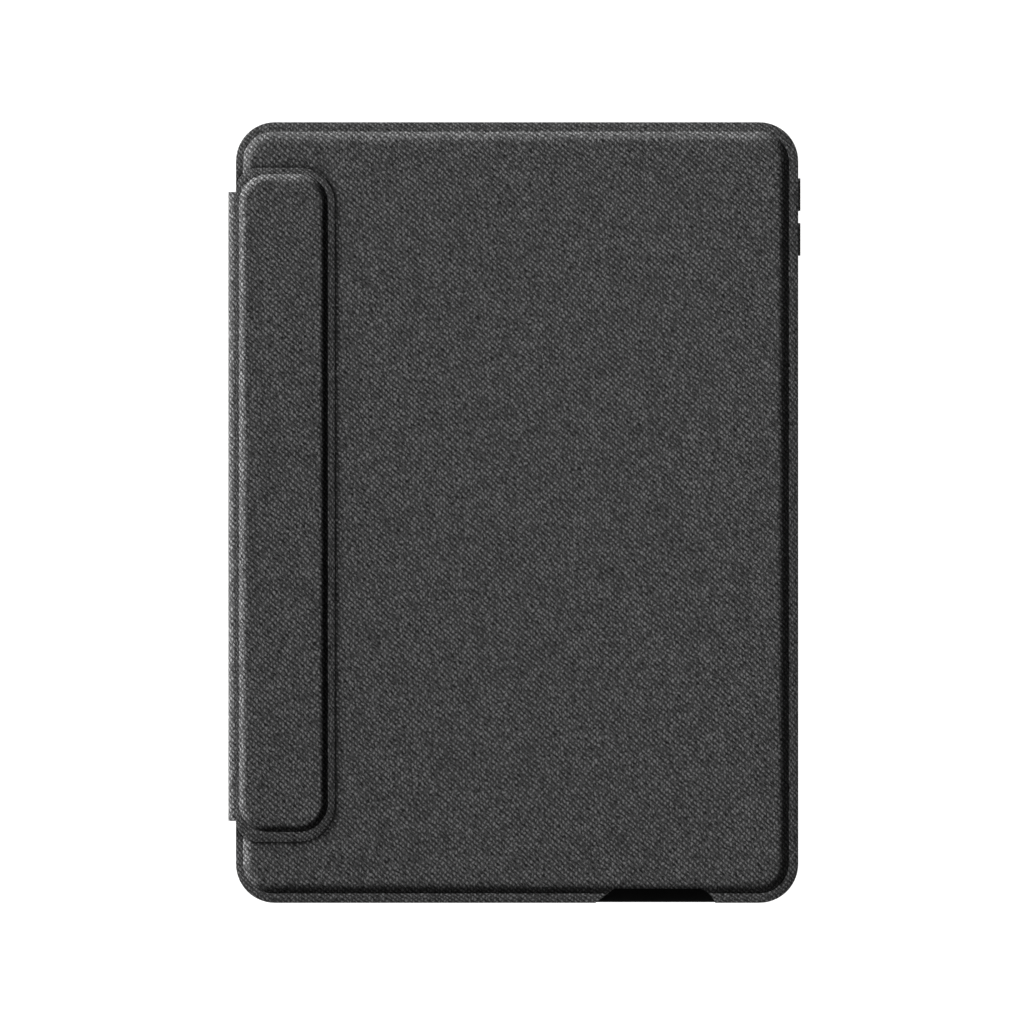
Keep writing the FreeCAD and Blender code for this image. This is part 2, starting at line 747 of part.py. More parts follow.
def spine():
    """The spine's skin, board and lining between the two folds."""
    left = CASE[0] + " - " + dim("fold_radius")
    low = dim("fold_radius") + " + " + dim("fold_end")
    tall = UPPER_FOLD + " - " + dim("fold_end") + " - (" + low + ")"
    long = dim("spine_high") + " - " + dim("spine_low")
    block("spine_skin", left, dim("spine_low"), low, dim("skin"), long, tall)
    board_x = left + " + " + dim("skin")
    block(
        "spine_board",
        board_x,
        dim("spine_low") + " + 2",
        low + " + 0.5",
        dim("spine_board"),
        long + " - 4",
        tall + " - 1",
    )
    lining_x = board_x + " + " + dim("spine_board")
    block(
        "spine_lining",
        lining_x,
        dim("spine_low") + " + 0.5",
        low,
        dim("spine_lining"),
        long + " - 1",
        tall,
    )
    overlap = math.degrees(size(dim("fold_end")) / size(dim("fold_radius")))
    fold("lower_fold", dim("fold_radius"), 180 - overlap, 90 + overlap)
    fold("upper_fold", UPPER_FOLD, 90, 90 + overlap)


# Flap


def flap():
    """The flap that lies on the cover beside the spine, with its raised pad and magnets."""
    skin = plate(
        "flap_skin",
        BED,
        dim("bed_corner"),
        BED_LOW,
        dim("skin") + " - " + dim("flap_lining"),
        dim("bed_fold_corner"),
    )
    raised = sketch_in(skin, "raised", BED_TOP)
    rounded(raised, FLAP, dim("flap_corner"))
    pad(skin, raised, dim("flap_rise"))
    soften_top(skin, dim("flap_bevel"))
    inner_corner = dim("flap_corner") + " - " + dim("flap_wall")
    cut_area(skin, "inside", FLAP_INSIDE, inner_corner, BED_LOW, FOAM_TOP + " - (" + BED_LOW + ")")

    plate(
        "flap_lining",
        (BED[0], BED[1] + " - 0.4", BED[2] + " + 0.4", BED[3] + " - 0.4"),
        dim("bed_corner"),
        LINING_LOW,
        dim("flap_lining"),
        dim("bed_fold_corner"),
    )
    snug = inset(FLAP_INSIDE, "0.1")
    snug_corner = inner_corner + " - 0.1"
    carrier = plate("flap_magnet_carrier", snug, snug_corner, BED_LOW, dim("carrier_thick"))
    middle_x = "(" + FLAP[0] + " + " + FLAP[1] + ") / 2"
    pitch, middle_y = dim("flap_magnet_pitch"), dim("flap_middle_y")
    places = [f"{middle_y} + {step} * {pitch}" for step in (-2.5, -1.5, -0.5, 0.5, 1.5, 2.5)]
    wide, long = size(dim("flap_magnet_width")), size(dim("flap_magnet_length"))
    half_width = dim("flap_magnet_width") + " / 2 + 0.1"
    half_length = dim("flap_magnet_length") + " / 2 + 0.1"
    seats = sketch_in(carrier, "magnet_seats", BED_LOW)
    for y in places:
        rounded(seats, around(middle_x, y, half_width, half_length), "0.2")
    pocket(carrier, seats, dim("carrier_thick"), along=True)
    low, thick = size(BED_LOW), size(dim("carrier_thick"))
    left = size(middle_x) - wide / 2
    magnets = [Part.makeBox(wide, long, thick, Vector(left, size(y) - long / 2, low)) for y in places]
    free_shape("flap_magnets", Part.makeCompound(magnets))
    plate("flap_foam", snug, snug_corner, CARRIER_TOP, FOAM_TOP + " - (" + CARRIER_TOP + ")")


# Keyboard half


def cover():
    """The cover of the keyboard half: a skin with a raised panel, over foam, board and a steel keeper."""
    skin = plate("cover_skin", CASE, dim("case_corner"), SHELL_TOP, dim("skin"))
    raised = sketch_in(skin, "raised", FLANGE_TOP)
    rounded(raised, PANEL, dim("panel_corner"))
    pad(skin, raised, dim("panel_rise"))
    soften_top(skin, dim("panel_bevel"))
    inner_corner = dim("panel_corner") + " - " + dim("panel_wall")
    tall = COVER_INSIDE + " - (" + SHELL_TOP + ")"
    cut_area(skin, "inside", PANEL_INSIDE, inner_corner, SHELL_TOP, tall)
    notch = sketch_in(skin, "notch", SHELL_TOP)
    polygon(notch, NOTCH)
    pocket(skin, notch, PANEL_TOP + " - (" + SHELL_TOP + ")", along=True)

    snug = inset(PANEL_INSIDE, "0.1")
    snug_corner = inner_corner + " - 0.1"
    plate("cover_board", snug, snug_corner, SHELL_TOP, dim("cover_board"))
    foam_thick = COVER_INSIDE + " - (" + COVER_BOARD_TOP + ")"
    foam = plate("cover_foam", snug, snug_corner, COVER_BOARD_TOP, foam_thick)
    cut_area(foam, "keeper_window", inset(KEEPER, "-0.1"), "1", COVER_BOARD_TOP, foam_thick)
    plate("keeper_strip", KEEPER, "0.9", COVER_BOARD_TOP, dim("keeper_thick"))


def bottom_shell():
    """The tub of the keyboard, open towards the keys, with the socket and switch openings in one end."""
    corner = dim("case_corner") + " - " + dim("shell_gap")
    shell = plate("keyboard_bottom_shell", SHELL, corner, DECK_FACE, dim("shell_height"))
    inside = inset(SHELL, dim("shell_wall"))
    inside_corner = corner + " - " + dim("shell_wall")
    depth = dim("shell_height") + " - " + dim("shell_floor")
    cut_area(shell, "inside", inside, inside_corner, DECK_FACE, depth)

    end = "-(" + SHELL[2] + ")"
    ports = sketch_in(shell, "ports", end + " + 0.1", "XZ_Plane")
    half_height = dim("socket_height") + " / 2"
    socket = around(dim("socket_x"), SOCKET_MIDDLE, dim("socket_half_width"), half_height)
    rounded(ports, inset(socket, "-0.1"), half_height)
    reach = dim("switch_half_width") + " + " + dim("switch_travel") + " / 2 + 0.2"
    middle = dim("switch_x") + " + " + dim("switch_travel") + " / 2"
    slot = around(middle, SOCKET_MIDDLE, reach, dim("switch_height") + " / 2 + 0.2")
    rounded(ports, slot, "0.4")
    pocket(shell, ports, dim("shell_wall") + " + 0.3")

    recess = sketch_in(shell, "recess", end + " + 0.1", "XZ_Plane")
    low = "(" + DECK_FACE + ") - 0.5"
    high = SHELL_TOP + " + 0.5"
    rounded(recess, (dim("recess_left"), dim("recess_right"), low, high), "0.3")
    pocket(shell, recess, dim("recess_depth") + " + 0.1")

    bevel = sketch_in(shell, "end_bevel", dim("notch_mouth_left"), "YZ_Plane")
    edge = SHELL[2]
    points = [
        (edge + " - 0.1", SHELL_TOP + " + 0.1"),
        (edge + " - 0.1", SHELL_TOP + " - " + dim("end_chamfer") + " - 0.1"),
        (edge + " + " + dim("end_chamfer") + " + 0.1", SHELL_TOP + " + 0.1"),
    ]
    polygon(bevel, points)
    pocket(shell, bevel, dim("notch_mouth_right") + " - " + dim("notch_mouth_left"), along=True)


ROWS = {
    "function": [1] * 15,
    "number": [1] * 13 + [2],
    "upper": [1.5] + [1] * 12 + [1.5],
    "home": [1.75] + [1] * 11 + [2.25],
    "lower": [2.25] + [1] * 10 + [2.75],
    "bottom": [1.25, 1, 1, 1.25, 5.25, 1.25, 1, 1, 1, 1],
}


def key_places():
    """Each row's name, and each of its keys as (x, y, half of its depth, half of its width)."""
    pitch, gap = size(dim("key_pitch")), size(dim("key_gap"))
    x, small = size(dim("first_row_x")), size(dim("first_row_key"))
    rows = {}
    for number, (name, widths) in enumerate(ROWS.items()):
        if number == 1:
            x += size(dim("second_row_step"))
        elif number > 1:
            x += pitch
        half_depth = small / 2 if number == 0 else (pitch - gap) / 2
        y = sum(widths) * pitch / 2
        rows[name] = []
        for width in widths:
            rows[name].append((x, y - width * pitch / 2, half_depth, (width * pitch - gap) / 2))
            y -= width * pitch
    return rows


def keycap(x, y, half_depth, half_width):
    """A hollow cap, its face down, with a soft rim round the face."""
    face = size(KEY_FACE)
    back = face + size(dim("key_height"))
    corner, bevel = size(dim("key_corner")), size(dim("key_bevel"))
    cap = slab(x - half_depth, x + half_depth, y - half_width, y + half_width, face, back, corner)
    rim = [e for e in cap.Edges if e.BoundBox.ZMax < face + 1e-6]
    cap = cap.makeFillet(bevel, rim)
    wall = 1.0
    cavity = slab(
        x - half_depth + wall,
        x + half_depth - wall,
        y - half_width + wall,
        y + half_width - wall,
        back - size(dim("key_cavity")),
        back,
        corner - wall,
    )
    return cap.cut(cavity)


def scissor(x, y, low, high):
    """A dome and two crossed links under a cap, between low (the cap) and high (the membrane)."""
    thick = 0.35
    outer = Part.makeBox(6.4, 10.8, thick, Vector(-3.2, -5.4, -thick / 2))
    outer = outer.cut(Part.makeBox(5.5, 9.2, thick, Vector(-2.75, -4.6, -thick / 2)))
    inner = [Part.makeBox(5.2, 0.6, thick, Vector(-2.6, side, -thick / 2)) for side in (-4.4, 3.8)]
    lift = (high - low) / 2 - thick / 2 - 0.08
    pieces = [Part.makeCone(2.4, 1.3, high - low, Vector(x, y, high), Vector(0, 0, -1))]
    for half_length, tilt, links in ((3.2, 1, [outer]), (2.6, -1, inner)):
        angle = tilt * math.degrees(math.asin(lift / half_length))
        for link in links:
            link.Placement = Placement(Vector(x, y, (low + high) / 2), Rotation(Vector(0, 1, 0), angle))
            pieces.append(link)
    return pieces


def keys():
    """Six rows of caps, and under each row its domes and links."""
    low = size(KEY_FACE) + size(dim("key_height")) - size(dim("key_cavity"))
    high = size(MEMBRANE_LOW)
    for name, places in key_places().items():
        caps = [keycap(*place) for place in places]
        free_shape("keycaps_%s_row" % name, Part.makeCompound(caps))
        pieces = []
        for x, y, _, half_width in places:
            wide = half_width > 2 * size(dim("key_pitch"))
            for step in ((-25, 0, 25) if wide else (0,)):
                pieces += scissor(x, y + step, low, high)
        free_shape("key_mechanisms_%s_row" % name, Part.makeCompound(pieces))


def top_frame():
    """The deck around the keys and the trackpad."""
    corner = dim("case_corner") + " - " + dim("shell_gap") + " - " + dim("shell_wall")
    blank = plate("frame_blank", FRAME, corner, DECK_FACE, dim("frame_thick"))
    exported.remove(blank)
    cut_area(blank, "well", WELL, "2.5", DECK_FACE, dim("well_depth"))
    cut_area(blank, "trackpad", inset(TRACKPAD, "-0.4"), "3.4", DECK_FACE, dim("frame_thick"))
    room = (dim("recess_left"), "64", FRAME[2] + " - 1", FRAME[2] + " + 9")
    cut_area(blank, "port_room", room, "0.5", DECK_FACE + " + 0.5", dim("frame_thick"))
    lenses = [(dim("lens_x"), dim("lens_low_y")), (dim("lens_x"), dim("lens_high_y"))]
    cut_circles(blank, "lens_holes", lenses, dim("lens_radius"), DECK_FACE, dim("frame_thick"))
    spare = size(dim("key_window"))
    low, high = size(DECK_FACE), size(FRAME_TOP) + 1
    windows = []
    for places in key_places().values():
        for x, y, half_depth, half_width in places:
            wide, deep = half_width + spare, half_depth + spare
            windows.append(slab(x - deep, x + deep, y - wide, y + wide, low, high, 2.0))
    tool = free_shape("key_windows", Part.makeCompound(windows))
    exported.remove(tool)
    frame = doc.addObject("Part::Cut", "keyboard_top_frame")
    frame.Label = "keyboard_top_frame"
    frame.Base, frame.Tool = blank, tool
    exported.append(frame)
    radius, thick = size(dim("lens_radius")), size(dim("frame_thick"))
    plugs = [rod(radius, size(x), size(y), size(DECK_FACE), thick, UP) for x, y in lenses]
    free_shape("indicator_lenses", Part.makeCompound(plugs))


def support_plate():
    """The steel plate and the membrane under the keys."""
    area = inset(FRAME, "2")
    corner = dim("case_corner") + " - 6"
    support = plate("key_support_plate", area, corner, PLATE_LOW, dim("plate_thick"))
    for name, side in (("battery_room", BATTERY_SIDE), ("board_room", BOARD_SIDE)):
        cut_area(support, name, inset(side, "-0.6"), "2", PLATE_LOW, dim("plate_thick"))
    room = (dim("recess_left"), "64", area[2] + " - 1", "-" + dim("side_far") + " + 1")
    cut_area(support, "port_room", room, "0.5", PLATE_LOW, dim("plate_thick"))
    plate("key_membrane", inset(WELL, "0.5"), "2", MEMBRANE_LOW, dim("membrane_thick"))


def trackpad():
    """The trackpad's plate and board move together on the switch beneath them."""
    plate("trackpad_plate", TRACKPAD, "3", KEY_FACE, "1")
    board_low = KEY_FACE + " + 1"
    plate("trackpad_board", inset(TRACKPAD, "1.5"), "2", board_low, "0.8")
    middle = "(" + TRACKPAD[0] + " + " + TRACKPAD[1] + ") / 2"
    top = board_low + " + 0.8 + 0.35"
    tall = PLATE_LOW + " - (" + top + ")"
    plate("trackpad_switch", around(middle, "0", "3", "3"), "0.6", top, tall)


# The chips on the main board, each as (x, y, half of its width, half of its depth).
CHIPS = [
    ("40", "-80", "5", "5"),
    ("66", "-78", "4", "3"),
    ("34", "-98", "3", "2"),
    ("72", "-100", "3", "4"),
]


def electronics():
    """Battery, circuit board, charging socket and power switch."""
    cell_low = FRAME_TOP + " + 0.1"
    cell = SHELL_INSIDE + " - 0.1 - (" + cell_low + ")"
    plate("battery_cell", inset(BATTERY_SIDE, "0.5"), "2", cell_low, cell)

    board_low = SHELL_INSIDE + " - 0.9"
    board = plate("main_circuit_board", BOARD_SIDE, "1", board_low, "0.8")
    chips = sketch_in(board, "chips", board_low)
    for place in CHIPS:
        rounded(chips, around(*place), "0.3")
    pad(board, chips, "0.7", backwards=True)
    end = "-(" + SHELL[2] + ")"
    socket = new_body("charging_socket")
    half_height = dim("socket_height") + " / 2"
    area = around(dim("socket_x"), SOCKET_MIDDLE, dim("socket_half_width"), half_height)
    outline = sketch_in(socket, "outline", end + " - 0.2", "XZ_Plane")
    rounded(outline, area, half_height + " - 0.01")
    pad(socket, outline, dim("socket_length"), backwards=True)
    mouth = sketch_in(socket, "mouth", end + " - 0.2", "XZ_Plane")
    rounded(mouth, inset(area, "0.35"), half_height + " - 0.37")
    pocket(socket, mouth, dim("socket_length") + " - 1")
    tongue = sketch_in(socket, "tongue", end + " - " + dim("socket_length") + " + 0.7", "XZ_Plane")
    rounded(tongue, around(dim("socket_x"), SOCKET_MIDDLE, "3.3", "0.35"), "0.1")
    pad(socket, tongue, "5")

    wall = dim("shell_wall")
    inner = SHELL[2] + " + " + wall
    low = SOCKET_MIDDLE + " - " + dim("switch_height") + " / 2"
    block(
        "power_switch_body",
        dim("switch_x") + " - 4",
        inner + " + 0.3",
        low + " - 0.4",
        "11",
        "4.5",
        dim("switch_height") + " + 0.8",
    )
    half = dim("switch_half_width")
    outer = SHELL[2] + " + 0.1"
    block(
        "power_switch_slider",
        dim("switch_x") + " - " + half,
        outer,
        low,
        "2 * " + half,
        wall,
        dim("switch_height"),
    )
    x = size(SHELL[1] + " - " + dim("closure_inset"))
    wide, long, thick = (size(dim("closure_" + side)) for side in ("width", "length", "thick"))
    magnets = [
        Part.makeBox(wide, long, thick, Vector(x, size(y) - long / 2, size(FRAME_TOP)))
        for y in closure_places()
    ]
    free_shape("closure_magnets", Part.makeCompound(magnets))


def bumpers():
    """Soft strips on the deck's rim that keep the keys off the display."""
    top = size(DECK_FACE)
    low = top - size(dim("bumper_height"))
    half_length, half_width = size(dim("bumper_half_length")), size(dim("bumper_half_width"))
    far_x = size(dim("bumper_x"))
    far_y = size(dim("case_depth") + " / 2 - " + dim("bumper_inset"))
    pads = [
        slab(x - half_length, x + half_length, y - half_width, y + half_width, low, top, half_width / 2)
        for x in (-far_x, far_x)
        for y in (-far_y, far_y)
    ]
    free_shape("deck_bumpers", Part.makeCompound(pads))


back_pieces()
tablet_tray()
tray_pieces()
volume_buttons()
kickstand()
spine()
flap()
cover()
bottom_shell()
top_frame()
keys()
support_plate()
trackpad()
electronics()
bumpers()
doc.recompute()

for item in doc.Objects:
    if "Invalid" in item.State or "Error" in item.State:
        raise RuntimeError("%s did not compute: %s" % (item.Name, item.State))
    if item.TypeId == "PartDesign::Pocket":
        removed = item.BaseFeature.Shape.Volume - item.Shape.Volume
        if removed < 1e-3:
            raise RuntimeError("%s cuts nothing" % item.Name)
for item in exported:
    if item.Shape.isNull() or not item.Shape.isValid():
        raise RuntimeError("%s has no valid shape" % item.Label)
for item in exported:
    item.Shape.exportStep("parts/%s.step" % item.Label)
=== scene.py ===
import bpy
import json
import math
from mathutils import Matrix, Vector, noise


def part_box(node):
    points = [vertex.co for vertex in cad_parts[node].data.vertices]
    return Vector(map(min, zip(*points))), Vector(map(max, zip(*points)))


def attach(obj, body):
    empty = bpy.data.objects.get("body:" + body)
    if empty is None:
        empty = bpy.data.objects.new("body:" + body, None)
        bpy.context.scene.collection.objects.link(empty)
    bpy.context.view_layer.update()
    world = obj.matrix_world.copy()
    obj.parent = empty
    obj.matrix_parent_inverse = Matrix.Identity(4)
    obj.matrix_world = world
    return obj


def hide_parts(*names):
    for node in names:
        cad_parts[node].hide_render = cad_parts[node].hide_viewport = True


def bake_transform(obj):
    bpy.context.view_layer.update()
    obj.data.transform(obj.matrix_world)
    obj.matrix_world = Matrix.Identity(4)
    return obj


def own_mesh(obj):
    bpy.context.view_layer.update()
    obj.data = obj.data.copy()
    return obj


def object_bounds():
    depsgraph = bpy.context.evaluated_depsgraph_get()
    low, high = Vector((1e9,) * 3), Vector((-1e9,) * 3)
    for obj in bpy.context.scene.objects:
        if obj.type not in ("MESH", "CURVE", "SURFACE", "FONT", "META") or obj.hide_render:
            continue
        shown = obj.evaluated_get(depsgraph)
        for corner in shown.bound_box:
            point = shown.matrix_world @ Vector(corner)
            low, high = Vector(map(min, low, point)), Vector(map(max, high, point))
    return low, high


# A folio keyboard case in woven synthetic leather, closed and lying on its back.
# X runs from the spine to the opening edge, Y runs along the spine, and Z is up.
# Lengths are in metres, and mm() turns millimetres into them.

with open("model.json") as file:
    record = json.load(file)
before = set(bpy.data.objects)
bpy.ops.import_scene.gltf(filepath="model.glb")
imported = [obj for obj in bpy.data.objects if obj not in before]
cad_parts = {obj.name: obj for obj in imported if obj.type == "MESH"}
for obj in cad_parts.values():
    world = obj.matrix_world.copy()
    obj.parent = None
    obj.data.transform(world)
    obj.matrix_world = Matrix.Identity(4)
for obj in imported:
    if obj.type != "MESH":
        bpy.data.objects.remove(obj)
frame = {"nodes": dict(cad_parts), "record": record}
cad_box = [list(corner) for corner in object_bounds()]
scene = bpy.context.scene
MM = 0.001
CORNER_STEPS = 14   # steps round each corner of a ring
SIDE_STEPS = 24     # steps along each straight side of a ring


def mm(value):
    """Millimetres as metres."""
    return value * MM


def high(node):
    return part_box(node)[1]


# ---------------------------------------------------------------- materials


class Surface:
    """One procedural material, built a node at a time."""

    def __init__(self, name, colour=(0.02, 0.02, 0.02), roughness=0.6):
        self.material = bpy.data.materials.new(name)
        self.material.use_nodes = True
        self.nodes = self.material.node_tree.nodes
        self.links = self.material.node_tree.links
        self.nodes.clear()
        self.shader = self.nodes.new("ShaderNodeBsdfPrincipled")
        output = self.nodes.new("ShaderNodeOutputMaterial")
        self.links.new(self.shader.outputs["BSDF"], output.inputs["Surface"])
        self.set("Base Color", (*colour, 1.0))
        self.set("Roughness", roughness)

    def set(self, socket, value):
        """Puts a value, or another node's output, on the shader."""
        target = self.shader.inputs[socket]
        if isinstance(value, bpy.types.NodeSocket):
            self.links.new(value, target)
        else:
            target.default_value = value
        return self

    def feed(self, node, socket, value):
        if isinstance(value, bpy.types.NodeSocket):
            self.links.new(value, node.inputs[socket])
        else:
            node.inputs[socket].default_value = value

    def math(self, operation, first, second=0.0, third=0.0):
        node = self.nodes.new("ShaderNodeMath")
        node.operation = operation
        for index, value in enumerate((first, second, third)):
            self.feed(node, index, value)
        return node.outputs[0]

    def coordinates(self, kind="Object"):
        """Surface coordinates in millimetres, of the object or of its unrolled skin."""
        source = self.nodes.new("ShaderNodeTexCoord")
        scale = self.nodes.new("ShaderNodeVectorMath")
        scale.operation = "SCALE"
        self.links.new(source.outputs[kind], scale.inputs[0])
        scale.inputs["Scale"].default_value = 1000.0
        return scale.outputs["Vector"]

    def stretched(self, vector, x, y, z):
        node = self.nodes.new("ShaderNodeVectorMath")
        node.operation = "MULTIPLY"
        self.links.new(vector, node.inputs[0])
        node.inputs[1].default_value = (x, y, z)
        return node.outputs["Vector"]

    def noise(self, vector, size, detail=2.0, rough=0.5):
        """Smooth noise from 0 to 1 whose lumps are about size millimetres across."""
        node = self.nodes.new("ShaderNodeTexNoise")
        self.links.new(vector, node.inputs["Vector"])
        node.inputs["Scale"].default_value = 1.0 / size
        node.inputs["Detail"].default_value = detail
        node.inputs["Roughness"].default_value = rough
        return node.outputs["Fac"]

    def cells(self, vector, size, feature="F1"):
        node = self.nodes.new("ShaderNodeTexVoronoi")
        node.feature = feature
        self.links.new(vector, node.inputs["Vector"])
        node.inputs["Scale"].default_value = 1.0 / size
        return node

    def ramp(self, value, from_low, from_high, to_low, to_high):
        node = self.nodes.new("ShaderNodeMapRange")
        for index, number in enumerate((value, from_low, from_high, to_low, to_high)):
            self.feed(node, index, number)
        return node.outputs[0]

    def tint(self, value, dark, light):
        """A colour from dark at 0 to light at 1."""
        node = self.nodes.new("ShaderNodeMix")
        node.data_type = "RGBA"
        self.feed(node, 0, value)
        node.inputs["A"].default_value = (*dark, 1.0)
        node.inputs["B"].default_value = (*light, 1.0)
        return node.outputs["Result"]

    def openness(self, reach, own_shape_only):
        """How much of the sky a point sees within reach, from 0 to 1."""
        node = self.nodes.new("ShaderNodeAmbientOcclusion")
        node.samples = 8
        node.only_local = own_shape_only
        node.inputs["Distance"].default_value = reach
        return node.outputs["AO"]

    def painted_contact_shade(self, reach, strength):
        """Painted shade: the colour darkens where another piece stands close, standing in for the soft
        shadow the flap casts on the cover.
        """
        share = self.math("DIVIDE", self.openness(reach, False), self.openness(reach, True))
        return self.math("POWER", self.math("MINIMUM", share, 1.0), strength)

    def bump(self, height, depth_mm, strength=1.0):
        node = self.nodes.new("ShaderNodeBump")
        self.links.new(height, node.inputs["Height"])
        node.inputs["Distance"].default_value = mm(depth_mm)
        node.inputs["Strength"].default_value = strength
        self.set("Normal", node.outputs["Normal"])
        return self


def woven_skin():
    """Cross-grain synthetic leather: two diagonal thread directions, a pale fleck where they cross."""
    skin = Surface("woven_skin")
    place = skin.coordinates("UV")
    split = skin.nodes.new("ShaderNodeSeparateXYZ")
    skin.links.new(place, split.inputs[0])
    across, along = split.outputs[0], split.outputs[1]
    phases = []
    for angle, pitch, drift in ((49.0, 1.39, 5.0), (-38.0, 1.26, 3.0)):
        turn = math.radians(angle)
        run = skin.math("MULTIPLY", across, math.cos(turn) / pitch)
        run = skin.math("MULTIPLY_ADD", along, math.sin(turn) / pitch, run)
        wander = skin.noise(skin.stretched(place, 1.0, 1.0 + drift / 50, 1.0), drift, 2.0)
        shake = skin.noise(skin.stretched(place, 1.0 + drift / 40, 1.0, 1.0), 1.1, 1.0)
        run = skin.math("MULTIPLY_ADD", skin.math("SUBTRACT", wander, 0.5), 1.1, run)
        run = skin.math("MULTIPLY_ADD", skin.math("SUBTRACT", shake, 0.5), 0.85, run)
        phases.append(run)
    waves = [skin.math("COSINE", skin.math("MULTIPLY", phase, math.tau)) for phase in phases]
    ridges = [skin.math("MULTIPLY_ADD", wave, 0.5, 0.5) for wave in waves]
    both = skin.math("COSINE", skin.math("MULTIPLY", skin.math("ADD", *phases), math.tau))
    slim = skin.math("MULTIPLY_ADD", both, 0.5, 0.5)
    crossing = skin.math("MULTIPLY", skin.math("POWER", ridges[0], 2.0),
                         skin.math("POWER", ridges[1], 1.0))
    crossing = skin.math("MULTIPLY", crossing, skin.math("POWER", slim, 0.9))
    cell = skin.nodes.new("ShaderNodeCombineXYZ")
    for index, phase in enumerate(phases):
        skin.links.new(skin.math("ROUND", phase), cell.inputs[index])
    chance = skin.nodes.new("ShaderNodeTexWhiteNoise")
    chance.noise_dimensions = "2D"
    skin.links.new(cell.outputs[0], chance.inputs["Vector"])
    brightness = skin.ramp(chance.outputs["Value"], 0.0, 1.0, 0.25, 2.1)
    fleck = skin.math("MULTIPLY", crossing, brightness)
    turned = skin.nodes.new("ShaderNodeVectorRotate")
    turned.rotation_type = "Z_AXIS"
    turned.inputs["Angle"].default_value = math.radians(-49.0)
    skin.links.new(place, turned.inputs["Vector"])
    hairs = skin.noise(skin.stretched(turned.outputs["Vector"], 1.9, 0.4, 1.0), 0.7, 3.0, 0.6)
    streaks = skin.ramp(hairs, 0.35, 0.72, -0.05, 0.46)
    threads = skin.math("MULTIPLY_ADD", ridges[0], 0.13, skin.math("MULTIPLY", ridges[1], 0.02))
    patches = skin.ramp(skin.noise(place, 7.0, 3.0), 0.3, 0.7, 0.85, 1.15)
    shade = skin.math("MULTIPLY", skin.math("ADD", skin.math("ADD", fleck, threads), streaks), patches)
    # Painted shade: the weave's colour darkens near the flap, standing in for the flap's soft shadow
    # on the cover.
    shade = skin.math("MULTIPLY", shade, skin.painted_contact_shade(mm(5.0), 4.0))
    skin.set("Base Color", skin.tint(shade, (0.0040, 0.0040, 0.0041), (0.205, 0.205, 0.207)))
    skin.set("Roughness", skin.ramp(shade, 0.0, 1.0, 0.66, 0.50))
    skin.set("Specular IOR Level", 0.32)
    height = skin.math("MULTIPLY_ADD", ridges[0], 0.8, skin.math("MULTIPLY", crossing, 0.3))
    return skin.bump(height, 0.06, 0.5).material


def liner_cloth():
    """Brushed microfibre: short fibres lying mostly one way, with a soft sheen."""
    cloth = Surface("liner_cloth")
    place = cloth.coordinates()
    fibres = cloth.noise(cloth.stretched(place, 3.0, 0.8, 3.0), 0.5, 4.0, 0.7)
    nap = cloth.noise(place, 14.0, 3.0)
    shade = cloth.math("MULTIPLY_ADD", nap, 0.5, cloth.math("MULTIPLY", fibres, 0.5))
    cloth.set("Base Color", cloth.tint(shade, (0.006, 0.006, 0.006), (0.034, 0.034, 0.035)))
    cloth.set("Roughness", 0.9)
    cloth.set("Sheen Weight", 0.10)
    cloth.set("Sheen Roughness", 0.45)
    return cloth.bump(fibres, 0.06, 0.8).material


def moulded(name, dark, light, roughness, grain=0.35, depth=0.02, shine=0.3):
    """Spark-finished moulded plastic: a fine even grain, polished patches and faint flow marks."""
    plastic = Surface(name)
    place = plastic.coordinates()
    pits = plastic.cells(place, grain).outputs["Distance"]
    flow = plastic.noise(plastic.stretched(place, 1.0, 0.15, 1.0), 8.0, 3.0)
    rubbed = plastic.noise(place, 22.0, 4.0, 0.6)
    shade = plastic.math("MULTIPLY_ADD", flow, 0.6, rubbed)
    plastic.set("Base Color", plastic.tint(shade, dark, light))
    plastic.set("Roughness", plastic.ramp(rubbed, 0.3, 0.7, roughness - 0.07, roughness + 0.07))
    plastic.set("Specular IOR Level", shine)
    return plastic.bump(pits, depth, 0.6).material


def board_stock():
    board = Surface("board_stock")
    place = board.coordinates()
    fibres = board.noise(board.stretched(place, 0.4, 2.5, 2.5), 1.2, 5.0, 0.7)
    specks = board.cells(place, 1.6).outputs["Color"]
    shade = board.math("MULTIPLY_ADD", fibres, 0.8, board.math("MULTIPLY", specks, 0.2))
    board.set("Base Color", board.tint(shade, (0.010, 0.010, 0.0098), (0.036, 0.035, 0.034)))
    board.set("Roughness", 0.88)
    return board.bump(fibres, 0.05, 0.6).material


def foam():
    pad = Surface("foam")
    place = pad.coordinates()
    pores = pad.cells(place, 0.6).outputs["Distance"]
    shade = pad.math("MULTIPLY_ADD", pad.noise(place, 6.0), 0.4, pores)
    pad.set("Base Color", pad.tint(shade, (0.02, 0.02, 0.02), (0.10, 0.10, 0.10)))
    pad.set("Roughness", 0.95)
    return pad.bump(pores, 0.15, 0.9).material


def metal(name, dark, light, roughness, streak=(0.1, 4.0, 4.0)):
    """Plated or brushed metal, with fine scratches along one direction."""
    plate = Surface(name)
    place = plate.coordinates()
    scratches = plate.noise(plate.stretched(place, *streak), 0.6, 4.0, 0.7)
    haze = plate.noise(place, 9.0, 3.0)
    shade = plate.math("MULTIPLY_ADD", haze, 0.5, scratches)
    plate.set("Base Color", plate.tint(shade, dark, light))
    plate.set("Metallic", 1.0)
    plate.set("Roughness", plate.ramp(scratches, 0.3, 0.7, roughness - 0.08, roughness + 0.1))
    return plate.bump(scratches, 0.01, 0.5).material


def circuit_board():
    board = Surface("circuit_board")
    place = board.coordinates()
    cells = board.cells(board.stretched(place, 1.0, 1.0, 0.2), 3.5)
    tracks = board.math("LESS_THAN", board.math("PINGPONG", cells.outputs["Distance"], 0.18), 0.05)
    board.set("Base Color", board.tint(tracks, (0.004, 0.016, 0.010), (0.012, 0.060, 0.035)))
    board.set("Roughness", board.ramp(board.noise(place, 5.0), 0.3, 0.7, 0.30, 0.42))
    return board.bump(tracks, 0.03, 0.5).material


